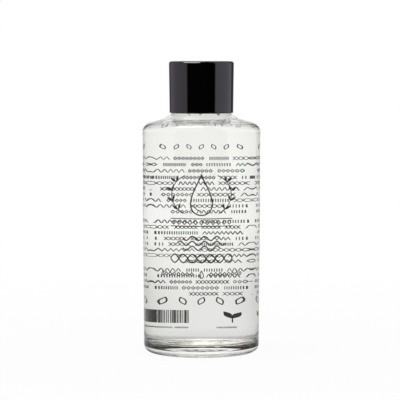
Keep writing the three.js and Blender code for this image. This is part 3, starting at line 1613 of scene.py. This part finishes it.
@dataclass(frozen=True)
class Ramp:
    """Brightness by steps of a measure: degrees from the camera's side, or another with its own span.

    The tint runs from the first to the last, and steps from the neutral place on have none.
    """

    steps: tuple[Pair, ...]
    first: Colour = WHITE
    last: Colour = WHITE
    neutral: float = 162.0
    span: float = 180.0

    def node(self, tree: Tree, share: Socket) -> Socket:
        """Adds the ramp to a tree.

        Args:
            tree: The tree that gets it.
            share: The measure as a share of the span.

        Returns:
            The brightness socket.
        """
        ramp = add_node(tree, "ShaderNodeValToRGB", {"Fac": share})
        elements = ramp.color_ramp.elements
        while len(elements) < len(self.steps):
            elements.new(0.5)
        for element, (place, level) in zip(elements, self.steps):
            element.position = place / self.span
            along = place / self.neutral
            tint = [a + (b - a) * along if along < 1 else 1.0 for a, b in zip(self.first, self.last)]
            element.color = (*(level * part for part in tint), 1.0)
        return ramp.outputs["Color"]


@dataclass(frozen=True)
class SoftLamp:
    """An oval soft lamp that looks straight down, with its width and depth and its power in watts."""

    name: str
    place: Point
    size: Pair
    power: float

    def build(self) -> Piece:
        """Hangs the lamp.

        Returns:
            The lamp's object.
        """
        lamp = bpy.data.lights.new(self.name, "AREA")
        lamp.shape = "ELLIPSE"
        lamp.size, lamp.size_y = self.size
        lamp.energy = self.power
        obj = link_object(self.name, lamp)
        obj.location = self.place
        return obj


@dataclass
class Studio:
    """Plain soft studio: white surround, two side banks, a dark front, a pale floor and two lamps.

    The floor's painted shadow near the bottle, and how far its painted shade to the sides reaches, go by
    millimetres from the bottle's axis; both darken the floor only for the rays through the glass.
    """

    left_bank: Ramp = Ramp(((0, 0.0), (50, 0.0), (55, 0.95), (75, 0.95), (120, 0.72), (141, 0.46),
                            (146, 0.1), (160, 0.1), (165, 1.0), (180, 1.0)),
                           (1.03, 0.96, 0.93), (1.0, 0.95, 1.12))
    right_bank: Ramp = Ramp(((0, 0.0), (48, 0.0), (53, 1.25), (75, 1.25), (120, 0.95), (131, 0.75),
                             (136, 0.13), (160, 0.13), (165, 1.0), (180, 1.0)),
                            (1.0, 0.99, 1.01), (1.0, 0.96, 1.1))
    surround: Ramp = Ramp(((0, 0.95), (75, 0.97), (100, 0.94), (122, 0.84), (145, 0.88), (165, 0.94),
                           (180, 0.955)))
    upper_left: Ramp = Ramp(((0, 0.02), (40, 0.03), (60, 0.25), (130, 0.42), (150, 0.68), (168, 1.12),
                             (180, 1.3)), WARM, WARM, 181.0)
    upper_right: Ramp = Ramp(((0, 0.02), (40, 0.03), (60, 0.06), (130, 0.15), (150, 0.34), (168, 0.95),
                              (180, 1.3)), WARM, WARM, 181.0)
    upper_rise: Ramp = Ramp(((0, 0.0), (94, 0.0), (101, 1.0), (180, 1.0)))
    daylight: Colour = (0.4, 0.4, 0.4)
    bounces: int = 32
    glossy_bounces: int = 9
    floor_size: float = 1.6
    floor_colour: Colour = (0.9, 0.9, 0.9)
    floor_white: float = 0.95
    floor_fade: float = 0.3
    # Painted shadow: the floor's brightness through the glass, dark near the bottle's axis where its
    # shadow falls.
    floor_painted_shadow: Ramp = Ramp(((0, 0.3), (20, 0.36), (33.3, 0.78), (77.8, 0.83), (177.8, 0.83), (250, 0.88),
                             (333.3, 0.93), (611, 0.96)), span=1000.0)
    # How far from the axis the painted shade to the sides reaches.
    floor_painted_side_shade_reach: Ramp = Ramp(((0, 1.0), (222, 1.0), (667, 0.0), (1000, 0.0)), span=1000.0)
    # Painted shade: the floor through the glass darker to the sides, by the angle from the camera's side.
    floor_painted_side_shade: Ramp = Ramp(((0, 0.95), (40, 0.9), (75, 0.75), (116, 0.7), (131, 0.75), (141, 0.8),
                              (152, 0.89), (163, 0.95), (172, 1.0), (180, 1.0)))
    top_lamp: SoftLamp = SoftLamp("top_softbox", (-0.22, -0.05, 0.95), (0.66, 0.36), 2.6)
    rim_lamp: SoftLamp = SoftLamp("rim_softbox", (-0.5, -0.5, 0.95), (0.9, 1.25), 32.0)

    def build(self, cap: Piece) -> None:
        """Makes the world, the floor and the lamps.

        Args:
            cap: The cap's shell, which alone catches the rim lamp.
        """
        self.build_world()
        self.build_floor()
        self.allow_bounces()
        self.top_lamp.build()
        lit = bpy.data.collections.new(self.rim_lamp.name)
        lit.objects.link(cap)
        self.rim_lamp.build().light_linking.receiver_collection = lit

    def build_world(self) -> None:
        """Makes the surround by direction: white to the camera, banks to gloss, backdrop through glass."""
        world = bpy.data.worlds.new("studio")
        bpy.context.scene.world = world
        tree = cleared(world)
        way = add_node(tree, "ShaderNodeTexCoord").outputs["Generated"]
        axes = add_node(tree, "ShaderNodeSeparateXYZ", {"Vector": way}).outputs
        rays = add_node(tree, "ShaderNodeLightPath").outputs
        share = self.turn(tree, way)
        right = calc(tree, "GREATER_THAN", axes["X"], 0.0)
        banks = mixed(tree, right, self.left_bank.node(tree, share), self.right_bank.node(tree, share))
        gloss = mixed(tree, rays["Is Glossy Ray"], self.daylight, banks)
        drop = calc(tree, "MULTIPLY", axes["Z"], -1.0)
        rise = calc(tree, "DIVIDE", calc(tree, "ARCCOSINE", drop), math.pi)
        upper = mixed(tree, right, self.upper_left.node(tree, share), self.upper_right.node(tree, share))
        backdrop = mixed(tree, self.upper_rise.node(tree, rise), self.surround.node(tree, share), upper)
        through = mixed(tree, rays["Is Transmission Ray"], gloss, backdrop)
        seen = mixed(tree, rays["Is Camera Ray"], through, WHITE)
        light = add_node(tree, "ShaderNodeBackground", {"Color": seen, "Strength": 1.0})
        add_node(tree, "ShaderNodeOutputWorld", {"Surface": light.outputs["Background"]})

    @staticmethod
    def turn(tree: Tree, way: Socket) -> Socket:
        """The angle of a direction from the camera's side, as a share of half a turn.

        Args:
            tree: The tree that gets the nodes.
            way: The direction.

        Returns:
            The share's socket.
        """
        axes = add_node(tree, "ShaderNodeSeparateXYZ", {"Vector": way}).outputs
        front = calc(tree, "MULTIPLY", axes["Y"], -1.0)
        angle = calc(tree, "ARCTAN2", calc(tree, "ABSOLUTE", axes["X"]), front)
        return calc(tree, "DIVIDE", angle, math.pi)

    def allow_bounces(self) -> None:
        """Lets light run on inside the thick glass until it leaves it."""
        cycles = bpy.context.scene.cycles
        cycles.max_bounces = self.bounces
        cycles.glossy_bounces = self.glossy_bounces
        cycles.transmission_bounces = self.bounces

    def build_floor(self) -> None:
        """Lays the pale floor, which is white to the camera where nothing shades it."""
        half = self.floor_size / 2
        mesh = bpy.data.meshes.new("studio_floor")
        mesh.from_pydata([(-half, -half, 0), (half, -half, 0), (half, half, 0), (-half, half, 0)], [],
                         [(0, 1, 2, 3)])
        mesh.materials.append(self.floor_material())
        link_object("studio_floor", mesh)

    def floor_material(self) -> bpy.types.Material:
        """Mixes a lit floor with plain white for the rays that see the backdrop; for the rays through the
        glass that white is darkened by a painted shadow near the bottle and painted shade to its sides.

        Returns:
            The floor's material.
        """
        made = bpy.data.materials.new("studio_floor")
        tree = cleared(made)
        rays = add_node(tree, "ShaderNodeLightPath").outputs
        seen = calc(tree, "MAXIMUM", rays["Is Camera Ray"], rays["Is Transmission Ray"])
        place = object_point(tree)
        away = add_node(tree, "ShaderNodeVectorMath", {0: place}, operation="LENGTH").outputs["Value"]
        white = calc(tree, "MULTIPLY", seen, slope(tree, away, 0.0, self.floor_fade, self.floor_white))
        # Painted shadow near the bottle, times the painted shade to the sides where it still reaches.
        shaded = mixed(tree, self.floor_painted_side_shade_reach.node(tree, away), self.floor_painted_shadow.node(tree, away),
                       self.floor_painted_side_shade.node(tree, self.turn(tree, place)), "MULTIPLY")
        glow = mixed(tree, rays["Is Transmission Ray"], WHITE, shaded)
        lit = add_node(tree, "ShaderNodeBsdfDiffuse", {"Color": (*self.floor_colour, 1.0)})
        plain = add_node(tree, "ShaderNodeEmission", {"Color": glow, "Strength": 1.0})
        both = add_node(tree, "ShaderNodeMixShader", {0: white, 1: lit.outputs[0], 2: plain.outputs[0]})
        add_node(tree, "ShaderNodeOutputMaterial", {"Surface": both.outputs[0]})
        return made


@dataclass
class PhotoCamera:
    """Camera at the photograph's viewing angle."""

    place: Point = (-0.5 * MM, -764.7 * MM, 105.1 * MM)
    pitch: float = math.radians(3.834)
    lens: float = 194.6
    sensor: float = 36.0
    clip: float = 0.01

    def build(self) -> None:
        """Makes the camera the scene's own."""
        data = bpy.data.cameras.new("photo_camera")
        data.lens = self.lens
        data.sensor_width = self.sensor
        data.clip_start = self.clip
        camera = link_object("photo_camera", data)
        camera.location = self.place
        camera.rotation_euler = (math.pi / 2 - self.pitch, 0.0, 0.0)
        bpy.context.scene.camera = camera


def main() -> None:
    """Builds the camera, the bottle, the closure, the prints and the studio, and reports each piece."""
    logging.basicConfig(level=logging.INFO, format="%(name)s: %(message)s")
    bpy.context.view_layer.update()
    bpy.context.scene.view_settings.view_transform = "Standard"
    PhotoCamera().build()

    glass = GlassBottle.from_frame()
    fluid = FluidFill.from_frame(glass)
    facing = SealDisc.from_frame("seal_facing", edge=0.08 * MM, press=0.04 * MM)
    wad = SealDisc.from_frame("seal_wad", edge=0.25 * MM, press=0.0)
    pieces = [glass.dressed(fluid.wet_line), fluid.dressed(), OrificePlug.from_frame().dressed(),
              facing.dressed("facing", "barrier_film", Finishes.FILM),
              wad.dressed("wad", "white_foam", Finishes.FOAM)]
    insert, shell = ScrewCap.from_frame(glass).dressed()
    pieces += [insert, shell, FrontPrint(glass).dressed(), BackPrint(glass).dressed()]
    for piece in pieces:
        LOG.info("%s is dressed, with %d faces", piece.name, len(piece.data.polygons))

    Studio().build(shell)


if __name__ == "__main__":
    main()
